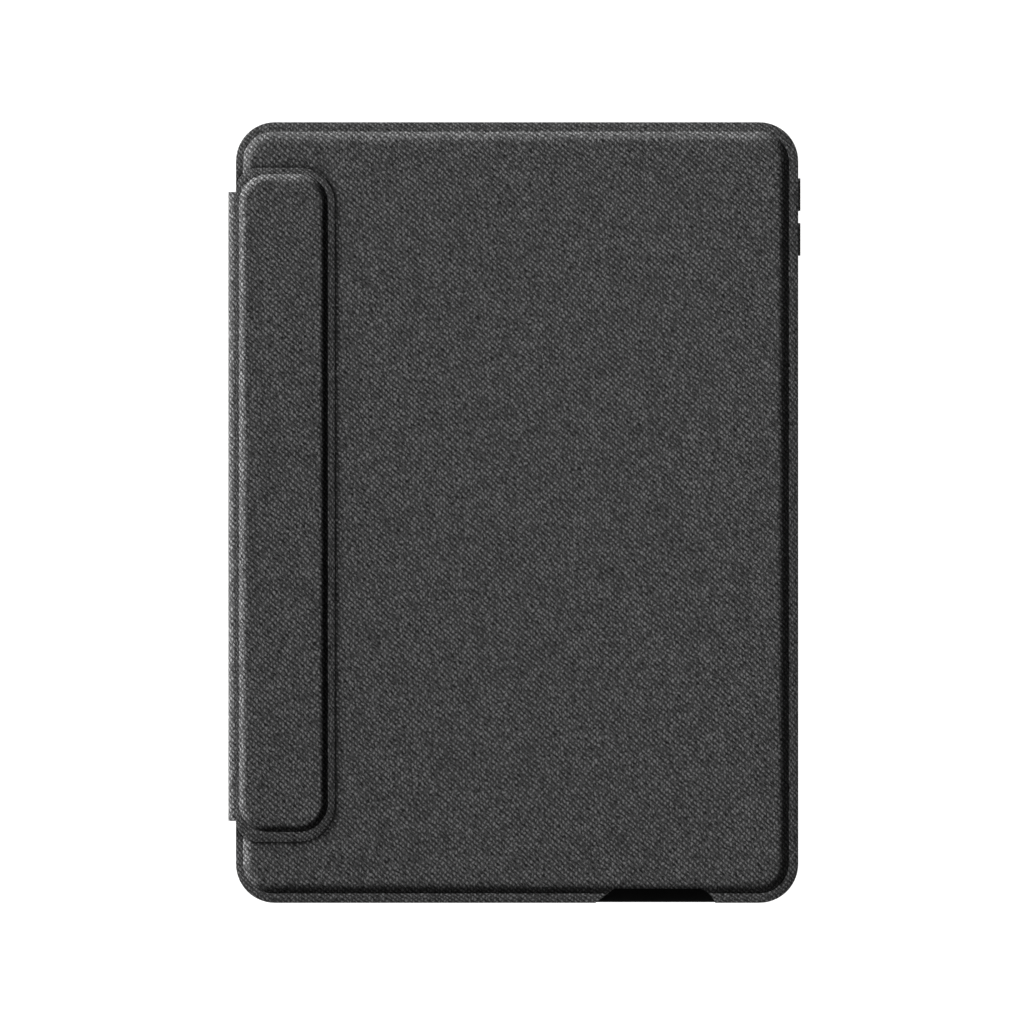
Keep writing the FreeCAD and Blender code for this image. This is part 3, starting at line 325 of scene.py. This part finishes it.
def battery_foil():
    foil = Surface("battery_foil")
    place = foil.coordinates()
    creases = foil.noise(foil.stretched(place, 0.3, 1.0, 1.0), 7.0, 5.0, 0.6)
    foil.set("Base Color", foil.tint(creases, (0.30, 0.30, 0.31), (0.62, 0.62, 0.64)))
    foil.set("Metallic", 0.85)
    foil.set("Roughness", foil.ramp(creases, 0.3, 0.7, 0.28, 0.45))
    return foil.bump(creases, 0.2, 0.5).material


def soft_rubber():
    rubber = Surface("soft_rubber")
    place = rubber.coordinates()
    dust = rubber.noise(place, 1.5, 5.0, 0.7)
    rubber.set("Base Color", rubber.tint(dust, (0.010, 0.010, 0.010), (0.040, 0.040, 0.041)))
    rubber.set("Roughness", rubber.ramp(dust, 0.3, 0.7, 0.72, 0.88))
    return rubber.bump(dust, 0.03, 0.6).material


def clear_lens():
    lens = Surface("clear_lens", (0.75, 0.78, 0.80), 0.12)
    lens.set("Transmission Weight", 0.75)
    lens.set("IOR", 1.49)
    lens.set("Roughness", lens.ramp(lens.noise(lens.coordinates(), 0.8), 0.3, 0.7, 0.08, 0.2))
    return lens.material


def film():
    sheet = Surface("film")
    place = sheet.coordinates()
    cloudy = sheet.noise(place, 5.0, 4.0)
    sheet.set("Base Color", sheet.tint(cloudy, (0.18, 0.19, 0.20), (0.34, 0.35, 0.36)))
    sheet.set("Roughness", sheet.ramp(cloudy, 0.3, 0.7, 0.22, 0.4))
    return sheet.bump(cloudy, 0.02, 0.4).material


MATERIALS = {
    "woven_skin": woven_skin(),
    "liner_cloth": liner_cloth(),
    "tray_plastic": moulded("tray_plastic", (0.004, 0.004, 0.004), (0.014, 0.014, 0.0145), 0.52),
    "shell_plastic": moulded("shell_plastic", (0.0010, 0.0010, 0.0010), (0.0030, 0.0030, 0.0030),
                             0.66, shine=0.06),
    "deck_plastic": moulded("deck_plastic", (0.012, 0.012, 0.013), (0.034, 0.034, 0.035),
                            0.58, grain=0.5, depth=0.03),
    "key_plastic": moulded("key_plastic", (0.010, 0.010, 0.011), (0.028, 0.028, 0.029),
                           0.46, grain=0.28, depth=0.012),
    "trackpad_face": moulded("trackpad_face", (0.016, 0.016, 0.017), (0.030, 0.030, 0.031),
                             0.34, grain=0.18, depth=0.004),
    "board_stock": board_stock(),
    "foam": foam(),
    "steel": metal("steel", (0.34, 0.34, 0.35), (0.62, 0.62, 0.63), 0.34),
    "magnet_nickel": metal("magnet_nickel", (0.48, 0.46, 0.43), (0.72, 0.70, 0.66),
                           0.22, streak=(1.0, 1.0, 1.0)),
    "circuit_board": circuit_board(),
    "battery_foil": battery_foil(),
    "soft_rubber": soft_rubber(),
    "clear_lens": clear_lens(),
    "film": film(),
}
for subpart in frame["record"]["subparts"]:
    node = frame["nodes"][subpart["node"]]
    node.data.materials.clear()
    node.data.materials.append(MATERIALS[subpart["material_slot"]])


# ---------------------------------------------------------------- skins made of rings


def outline(box, radii, inset):
    """Points round a rounded rectangle, as many for every one.

    box is (left, right, bottom, top). The radii start at the bottom left and run anticlockwise.
    """
    left, right, bottom, top = box[0] + inset, box[1] - inset, box[2] + inset, box[3] - inset
    signs = ((-1, -1), (1, -1), (1, 1), (-1, 1))
    corners = ((left, bottom), (right, bottom), (right, top), (left, top))
    points = []
    for index, (sx, sy) in enumerate(signs):
        radius = max(radii[index] - inset, mm(0.3))
        middle = (corners[index][0] - sx * radius, corners[index][1] - sy * radius)
        start = math.radians((180, 270, 0, 90)[index])
        for step in range(CORNER_STEPS + 1):
            angle = start + math.pi / 2 * step / CORNER_STEPS
            points.append((middle[0] + radius * math.cos(angle),
                           middle[1] + radius * math.sin(angle)))
    return subdivided(points)


def subdivided(points):
    """Adds evenly spaced points on the four straight sides, always as many on each."""
    made = []
    count = len(points)
    for index, point in enumerate(points):
        made.append(point)
        if (index + 1) % (CORNER_STEPS + 1) == 0:
            after = points[(index + 1) % count]
            for step in range(1, SIDE_STEPS):
                share = step / SIDE_STEPS
                made.append(tuple(a + (b - a) * share for a, b in zip(point, after)))
    return made


def mesh_object(name, vertices, faces, uvs, material, smooth=True):
    mesh = bpy.data.meshes.new(name)
    mesh.from_pydata(vertices, [], faces)
    layer = mesh.uv_layers.new(name="unrolled")
    for loop in mesh.loops:
        layer.data[loop.index].uv = uvs[loop.vertex_index]
    mesh.materials.append(MATERIALS[material])
    for polygon in mesh.polygons:
        polygon.use_smooth = smooth
    mesh.update()
    made = bpy.data.objects.new(name, mesh)
    scene.collection.objects.link(made)
    return made


def ringed(name, rings, material):
    """A closed skin through a stack of rings, from the underside to the middle.

    Each ring is (box, radii, inset, height). The unrolled coordinates grow outward by the true
    length of the skin.
    """
    lengths = [0.0]
    for ring, before in zip(reversed(rings[:-1]), reversed(rings[1:])):
        gap = math.hypot(before[2] - ring[2], before[3] - ring[3])
        lengths.append(lengths[-1] + gap)
    lengths.reverse()
    vertices, uvs = [], []
    for ring, length in zip(rings, lengths):
        box, radii, inset, height = ring
        flat_inset = rings[-1][2] - length
        vertices += [(x, y, height) for x, y in outline(box, radii, inset)]
        uvs += outline(box, radii, flat_inset)
    count = len(vertices) // len(rings)
    faces = [tuple(reversed(range(count)))]
    for level in range(len(rings) - 1):
        base = level * count
        for index in range(count):
            after = (index + 1) % count
            faces.append((base + index, base + after, base + count + after, base + count + index))
    faces.append(tuple(range((len(rings) - 1) * count, len(rings) * count)))
    return mesh_object(name, vertices, faces, uvs, material)


def cut_with(piece, cutters):
    """Takes closed cutter meshes out of a piece, then removes them."""
    for cutter in cutters:
        cut = piece.modifiers.new("cut", "BOOLEAN")
        cut.operation = "DIFFERENCE"
        cut.solver = "EXACT"
        cut.object = cutter
    bpy.context.view_layer.update()
    evaluated = piece.evaluated_get(bpy.context.evaluated_depsgraph_get())
    cut_mesh = bpy.data.meshes.new_from_object(evaluated)
    piece.modifiers.clear()
    piece.data = cut_mesh
    for cutter in cutters:
        bpy.data.objects.remove(cutter)


def prism(points, bottom, top):
    """A plain upright prism to cut with. The points run anticlockwise."""
    count = len(points)
    vertices = [(x, y, bottom) for x, y in points] + [(x, y, top) for x, y in points]
    faces = [tuple(reversed(range(count))), tuple(range(count, 2 * count))]
    faces += [(i, (i + 1) % count, count + (i + 1) % count, count + i) for i in range(count)]
    return mesh_object("cutter", vertices, faces, [(0.0, 0.0)] * (2 * count), "woven_skin", False)


def crisp(piece, degrees=38.0):
    """Smooth shading, except across edges sharper than this."""
    piece.data.set_sharp_from_angle(angle=math.radians(degrees))


def quarter_round(width, drop, steps, top):
    """(inset, height) pairs over a rounded edge that starts upright and ends level."""
    pairs = []
    for step in range(steps + 1):
        angle = math.pi / 2 * step / steps
        pairs.append((width * (1 - math.cos(angle)), top - drop * (1 - math.sin(angle))))
    return pairs


PILLOW_ROUNDNESS = 2.7


def pillow_bevel(width, drop, steps, top):
    """(inset, height) pairs over a padded edge, steepest at its foot and level at its top."""
    pairs = []
    for step in range(steps + 1):
        left = 1 - step / steps
        pairs.append((width * (1 - left), top - drop * left ** PILLOW_ROUNDNESS))
    return pairs


# cover skin of the keyboard half: a flange round a padded panel
cover_low, cover_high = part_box("cover_skin")
COVER = (cover_low.x, cover_high.x, cover_low.y, cover_high.y)
FLANGE_TOP = cover_low.z + mm(0.8)
PANEL_TOP = cover_high.z
COVER_RADII = (mm(12.8),) * 4
PANEL = (COVER[0] + mm(2.3), COVER[1] - mm(3.1), COVER[2] + mm(3.1), COVER[3] - mm(3.1))
PANEL_RADII = (mm(9.8),) * 4

rings = [(COVER, COVER_RADII, mm(0.5), cover_low.z)]
rings += [(COVER, COVER_RADII, mm(0.06), cover_low.z + mm(0.02))]
rings += [(COVER, COVER_RADII, 0.0, cover_low.z + mm(0.12))]
for inset, height in quarter_round(mm(0.12), mm(0.15), 4, FLANGE_TOP):
    rings.append((COVER, COVER_RADII, inset, height))
rings.append((PANEL, PANEL_RADII, mm(-0.3), FLANGE_TOP))
rings.append((PANEL, PANEL_RADII, mm(-0.05), FLANGE_TOP))
for inset, height in pillow_bevel(mm(3.9), PANEL_TOP - FLANGE_TOP, 16, PANEL_TOP):
    rings.append((PANEL, PANEL_RADII, inset, height))
for inset in (8.0, 14.0, 24.0, 40.0, 60.0, 82.0):
    rings.append((PANEL, PANEL_RADII, mm(inset), PANEL_TOP))
cover = ringed("cover_padded_skin", rings, "woven_skin")

# The cut-out in its lower edge, in millimetres: straight on the left, slightly bowed on the right.
NOTCH_LEFT = 25.7
NOTCH_BACK_LEFT = 31.8
NOTCH_RIGHT = 65.0
NOTCH_DEPTH = 4.7
RIGHT_SLOPE = 4.8            # how far the right side comes in over the depth
RIGHT_BOW = (0.55, 0.45)     # how far the right side bows out, in X and in Y
RIGHT_STEPS = 8
mouth = COVER[2] - mm(2.0)
notch = [(mm(NOTCH_LEFT), mouth), (mm(NOTCH_RIGHT), mouth), (mm(NOTCH_RIGHT), COVER[2])]
for step in range(RIGHT_STEPS + 1):
    share = step / RIGHT_STEPS
    lean = math.sin(share * math.pi)
    notch.append((mm(NOTCH_RIGHT - RIGHT_SLOPE * share + RIGHT_BOW[0] * lean),
                  COVER[2] + mm(NOTCH_DEPTH * share + RIGHT_BOW[1] * lean)))
notch += [(mm(NOTCH_BACK_LEFT), COVER[2] + mm(NOTCH_DEPTH)), (mm(NOTCH_LEFT), COVER[2])]
cut_with(cover, [prism(notch, cover_low.z - mm(1.0), PANEL_TOP + mm(1.0))])
crisp(cover)
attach(cover, "keyboard")
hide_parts("cover_skin")

# flap: a bed cut from the spine's skin, with a raised padded strip
flap_low, flap_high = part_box("flap_skin")
BED = (flap_low.x, flap_high.x, flap_low.y, flap_high.y)
BED_TOP = flap_low.z + mm(0.5)
BED_RADII = (mm(7.4), mm(11.8), mm(11.8), mm(7.4))
PAD = (BED[0] + mm(1.0), BED[1] - mm(2.3), BED[2] + mm(3.3), BED[3] - mm(2.1))
PAD_RADII = (mm(9.4),) * 4
rings = [(BED, BED_RADII, mm(0.5), flap_low.z), (BED, BED_RADII, 0.0, flap_low.z + mm(0.05))]
for inset, height in quarter_round(mm(0.1), mm(0.1), 3, BED_TOP):
    rings.append((BED, BED_RADII, inset, height))
rings.append((PAD, PAD_RADII, mm(-0.3), BED_TOP))
rings.append((PAD, PAD_RADII, mm(-0.05), BED_TOP))
for inset, height in pillow_bevel(mm(2.9), flap_high.z - BED_TOP, 14, flap_high.z):
    rings.append((PAD, PAD_RADII, inset, height))
for inset in (5.0, 9.0, 13.0):
    rings.append((PAD, PAD_RADII, mm(inset), flap_high.z))
flap = ringed("flap_padded_skin", rings, "woven_skin")
crisp(flap)
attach(flap, "flap")
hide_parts("flap_skin")


def lining_sheet(node, name, radii, body):
    """A thin cloth lining with soft edges, in the place of its CAD solid."""
    roll = mm(0.12)
    bottom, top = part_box(node)
    area = (bottom.x, top.x, bottom.y, top.y)
    thick = top.z - bottom.z
    rings = [(area, radii, roll, bottom.z)]
    rings.append((area, radii, 0.0, bottom.z + thick * 0.4))
    rings.append((area, radii, 0.0, bottom.z + thick * 0.6))
    rings.append((area, radii, roll, top.z))
    rings.append((area, radii, mm(6.0), top.z))
    piece = ringed(name, rings, "liner_cloth")
    crisp(piece, 50.0)
    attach(piece, body)
    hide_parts(node)


lining_sheet("flap_lining", "flap_cloth_lining", BED_RADII, "flap")
lining_sheet("tray_liner", "tray_cloth_liner", (mm(8.7),) * 4, "tray")

# back of the tablet half, with the kickstand's window and the camera hole
back_low, back_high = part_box("back_skin")
stand_low, stand_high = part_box("stand_skin")
BACK = (back_low.x, back_high.x, back_low.y, back_high.y)
rings = [(BACK, COVER_RADII, mm(8.0), back_low.z), (BACK, COVER_RADII, mm(1.2), back_low.z)]
for inset, height in ((0.35, 0.06), (0.12, 0.2), (0.0, 0.4), (0.05, 0.72), (0.3, 0.8)):
    rings.append((BACK, COVER_RADII, mm(inset), back_low.z + mm(height)))
rings.append((BACK, COVER_RADII, mm(8.0), back_high.z))
back = ringed("back_woven_skin", rings, "woven_skin")


def round_box(box, radii, steps=6):
    """An anticlockwise outline with as few points as a cutter needs."""
    points = []
    for index, (sx, sy) in enumerate(((-1, -1), (1, -1), (1, 1), (-1, 1))):
        radius = radii[index]
        middle = (box[(0, 1, 1, 0)[index]] - sx * radius,
                  box[(2, 2, 3, 3)[index]] - sy * radius)
        start = math.radians((180, 270, 0, 90)[index])
        for step in range(steps + 1):
            angle = start + math.pi / 2 * step / steps
            points.append((middle[0] + radius * math.cos(angle),
                           middle[1] + radius * math.sin(angle)))
    return points


def disc(middle, radius, steps=48):
    return [(middle[0] + radius * math.cos(math.tau * i / steps),
             middle[1] + radius * math.sin(math.tau * i / steps)) for i in range(steps)]


ring_low, ring_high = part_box("camera_ring")
CAMERA = ((ring_low.x + ring_high.x) / 2, (ring_low.y + ring_high.y) / 2)
CAMERA_RADIUS = mm(9.0)
STAND_GAP = mm(0.3)          # round the kickstand
HINGE_LINE = mm(-3.6)        # the window's edge at the kickstand's hinges
CUT = (mm(-1.0), mm(2.0))    # a cutter's bottom and top, past both faces of the back
WINDOW = (stand_low.x - STAND_GAP, HINGE_LINE, stand_low.y - STAND_GAP, stand_high.y + STAND_GAP)
window = prism(round_box(WINDOW, (mm(6.0), mm(0.3), mm(0.3), mm(6.0))), *CUT)
hole = prism(disc(CAMERA, CAMERA_RADIUS), *CUT)
cut_with(back, [window, hole])
crisp(back)
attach(back, "tray")
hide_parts("back_skin")

# kickstand skin, with the finger notch at its free edge
STAND = (stand_low.x, stand_high.x, stand_low.y, stand_high.y)
STAND_RADII = (mm(5.7), mm(0.3), mm(0.3), mm(5.7))
rings = [(STAND, STAND_RADII, mm(6.0), stand_low.z), (STAND, STAND_RADII, mm(0.5), stand_low.z)]
for inset, height in ((0.16, 0.05), (0.0, 0.25), (0.0, 0.72), (0.1, 0.8)):
    rings.append((STAND, STAND_RADII, mm(inset), stand_low.z + mm(height)))
rings.append((STAND, STAND_RADII, mm(6.0), stand_high.z))
stand = ringed("kickstand_woven_skin", rings, "woven_skin")
FINGER_RADIUS = mm(8.0)
cut_with(stand, [prism(disc((stand_low.x, 0.0), FINGER_RADIUS), *CUT)])
crisp(stand)
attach(stand, "kickstand")
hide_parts("stand_skin")


# ---------------------------------------------------------------- spine, with its two folds

spine_low, spine_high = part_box("spine_skin")
OUT = spine_low.x
FOLD_END = high("lower_fold").x
TOP = high("upper_fold").z
FOLD = mm(2.5)               # outer radius of a fold
SKIN = mm(0.8)
INSIDE = high("spine_lining").x
FOLD_STEPS = 10
# (height above the fold in millimetres, share of the way from the skin's to the lining's inside)
SWELL = ((0.25, 0.06), (0.5, 0.35), (0.75, 0.72), (1.0, 0.93), (1.3, 1.0), (3.0, 1.0), (5.5, 1.0))


def half_spine():
    """The lower half of the spine's section, from the fold's end to mid-height.

    It is a list of (outer, inner) point pairs.
    """
    pairs = []
    for step in range(FOLD_STEPS + 1):
        angle = math.pi / 2 * step / FOLD_STEPS
        outer = (FOLD_END - FOLD * math.sin(angle), FOLD - FOLD * math.cos(angle))
        inner_radius = FOLD - SKIN
        inner = (FOLD_END - inner_radius * math.sin(angle), FOLD - inner_radius * math.cos(angle))
        pairs.append((outer, inner))
    for rise, share in SWELL:
        height = FOLD + mm(rise)
        pairs.append(((OUT, height), (OUT + SKIN + (INSIDE - OUT - SKIN) * share, height)))
    pairs.append(((OUT, TOP / 2), (INSIDE, TOP / 2)))
    return pairs


def spine_piece(name, mirrored):
    """Half of the spine's skin with its lining, as a closed strip along Y."""
    pairs = half_spine()
    if mirrored:
        pairs = [((outer[0], TOP - outer[1]), (inner[0], TOP - inner[1]))
                 for outer, inner in pairs]
    section = [outer for outer, inner in pairs] + [inner for outer, inner in reversed(pairs)]
    travel = [0.0]
    for before, after in zip(section, section[1:]):
        travel.append(travel[-1] + math.dist(before, after))
    middle = travel[len(pairs) - 1]
    sign = -1.0 if mirrored else 1.0
    stations = 60
    vertices, uvs = [], []
    for station in range(stations + 1):
        y = spine_low.y + (spine_high.y - spine_low.y) * station / stations
        for index, (x, z) in enumerate(section):
            ripple = noise.noise(Vector((y * 90, index * 0.13, 3.0))) * mm(0.05)
            outer = index < len(pairs)
            flat = index in (0, len(pairs) - 1, len(pairs), len(section) - 1)
            vertices.append((x + (0.0 if flat or not outer else ripple), y, z))
            uvs.append((OUT - sign * (middle - travel[index]), y))
    count = len(section)
    faces = []
    for station in range(stations):
        base = station * count
        for index in range(count):
            after = (index + 1) % count
            quad = (base + index, base + after, base + count + after, base + count + index)
            faces.append(quad if mirrored else tuple(reversed(quad)))
    start, end = tuple(range(count)), tuple(range(stations * count, (stations + 1) * count))
    faces += [tuple(reversed(start)), end] if mirrored else [start, tuple(reversed(end))]
    piece = mesh_object(name, vertices, faces, uvs, "woven_skin")
    piece.data.materials.append(MATERIALS["liner_cloth"])
    for polygon in piece.data.polygons[:stations * count]:
        if polygon.index % count >= len(pairs):
            polygon.material_index = 1
    crisp(piece, 60.0)
    return piece


lower = spine_piece("spine_skin_lower_half", False)
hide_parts("lower_fold", "spine_skin")
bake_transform(lower)
upper = spine_piece("spine_skin_upper_half", True)
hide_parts("upper_fold", "spine_lining")
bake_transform(upper)


# ---------------------------------------------------------------- key mechanisms

# The rubber domes and folding links under a row, copied from the CAD model onto the keyboard's body.
for row in ("function", "number", "upper", "home", "lower", "bottom"):
    node = "key_mechanisms_%s_row" % row
    links_mesh = frame["nodes"][node].data.copy()
    mechanisms = bpy.data.objects.new("folding_links_%s_row" % row, links_mesh)
    scene.collection.objects.link(mechanisms)
    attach(mechanisms, "keyboard")
    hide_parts(node)
    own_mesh(mechanisms)


# ---------------------------------------------------------------- floor, light and camera

floor_mesh = bpy.data.meshes.new("floor")
REACH = 15.0
floor_corners = [(-REACH, -REACH, 0), (REACH, -REACH, 0), (REACH, REACH, 0), (-REACH, REACH, 0)]
floor_mesh.from_pydata(floor_corners, [], [(0, 1, 2, 3)])
floor = bpy.data.objects.new("floor", floor_mesh)
floor.location.z = cad_box[0][2] - mm(0.05)
scene.collection.objects.link(floor)
floor.visible_diffuse = False    # the floor glows white, and mustn't light the case from below
pale = bpy.data.materials.new("pale_floor")
pale.use_nodes = True
pale_shader = pale.node_tree.nodes["Principled BSDF"]
pale_shader.inputs["Base Color"].default_value = (0.30, 0.30, 0.30, 1.0)
pale_shader.inputs["Roughness"].default_value = 0.9
pale_shader.inputs["Specular IOR Level"].default_value = 0.0
pale_shader.inputs["Emission Color"].default_value = (1.0, 1.0, 1.0, 1.0)
pale_shader.inputs["Emission Strength"].default_value = 0.96
floor_mesh.materials.append(pale)

world = bpy.data.worlds.new("studio")
scene.world = world
world.use_nodes = True
sky = world.node_tree.nodes["Background"]
sky.inputs["Color"].default_value = (1.0, 1.0, 1.0, 1.0)
sky.inputs["Strength"].default_value = 0.015


def sun(name, direction, spread, strength, shadow=True):
    """A distant light that comes from direction. Without shadow it gives no gloss either."""
    data = bpy.data.lights.new(name, "SUN")
    data.angle = math.radians(spread)
    data.energy = strength
    data.use_shadow = shadow
    lamp = bpy.data.objects.new(name, data)
    lamp.visible_glossy = shadow
    lamp.rotation_euler = Vector(direction).to_track_quat("Z", "Y").to_euler()
    scene.collection.objects.link(lamp)


# Two lights from the upper left. The wash is low, without shadows, and brings out the weave. The key
# stands higher and throws shadows, and its cone fades so that the upper right is the brighter part.
sun("wash", (-0.84, 0.56, 0.160), 24.0, 11.4, shadow=False)
KEY_DISTANCE = 2.5
KEY_AIM = Vector((0.17, 0.20, 0.0))
key_data = bpy.data.lights.new("key", "SPOT")
key_data.energy = 275.0
key_data.spot_size = math.radians(18.2)
key_data.spot_blend = 1.0
key_data.shadow_soft_size = 0.45
key = bpy.data.objects.new("key", key_data)
key.location = Vector((-0.70, 0.54, 0.50)).normalized() * KEY_DISTANCE
key.rotation_euler = (key.location - KEY_AIM).to_track_quat("Z", "Y").to_euler()
scene.collection.objects.link(key)

camera_data = bpy.data.cameras.new("camera")
camera_data.lens = 1000.0
camera_data.sensor_width = 36.0
VIEW_WIDTH = 0.3357    # metres across the picture at the panel's height
camera_data.clip_start = 0.1
camera_data.clip_end = 60.0
camera = bpy.data.objects.new("camera", camera_data)
middle_x = (COVER[0] + COVER[1]) / 2 - mm(1.67)
middle_y = (COVER[2] + COVER[3]) / 2 + mm(0.17)
DISTANCE = VIEW_WIDTH * camera_data.lens / camera_data.sensor_width
camera.location = (middle_x, middle_y, PANEL_TOP + DISTANCE)
scene.collection.objects.link(camera)
scene.camera = camera
scene.view_settings.view_transform = "Standard"
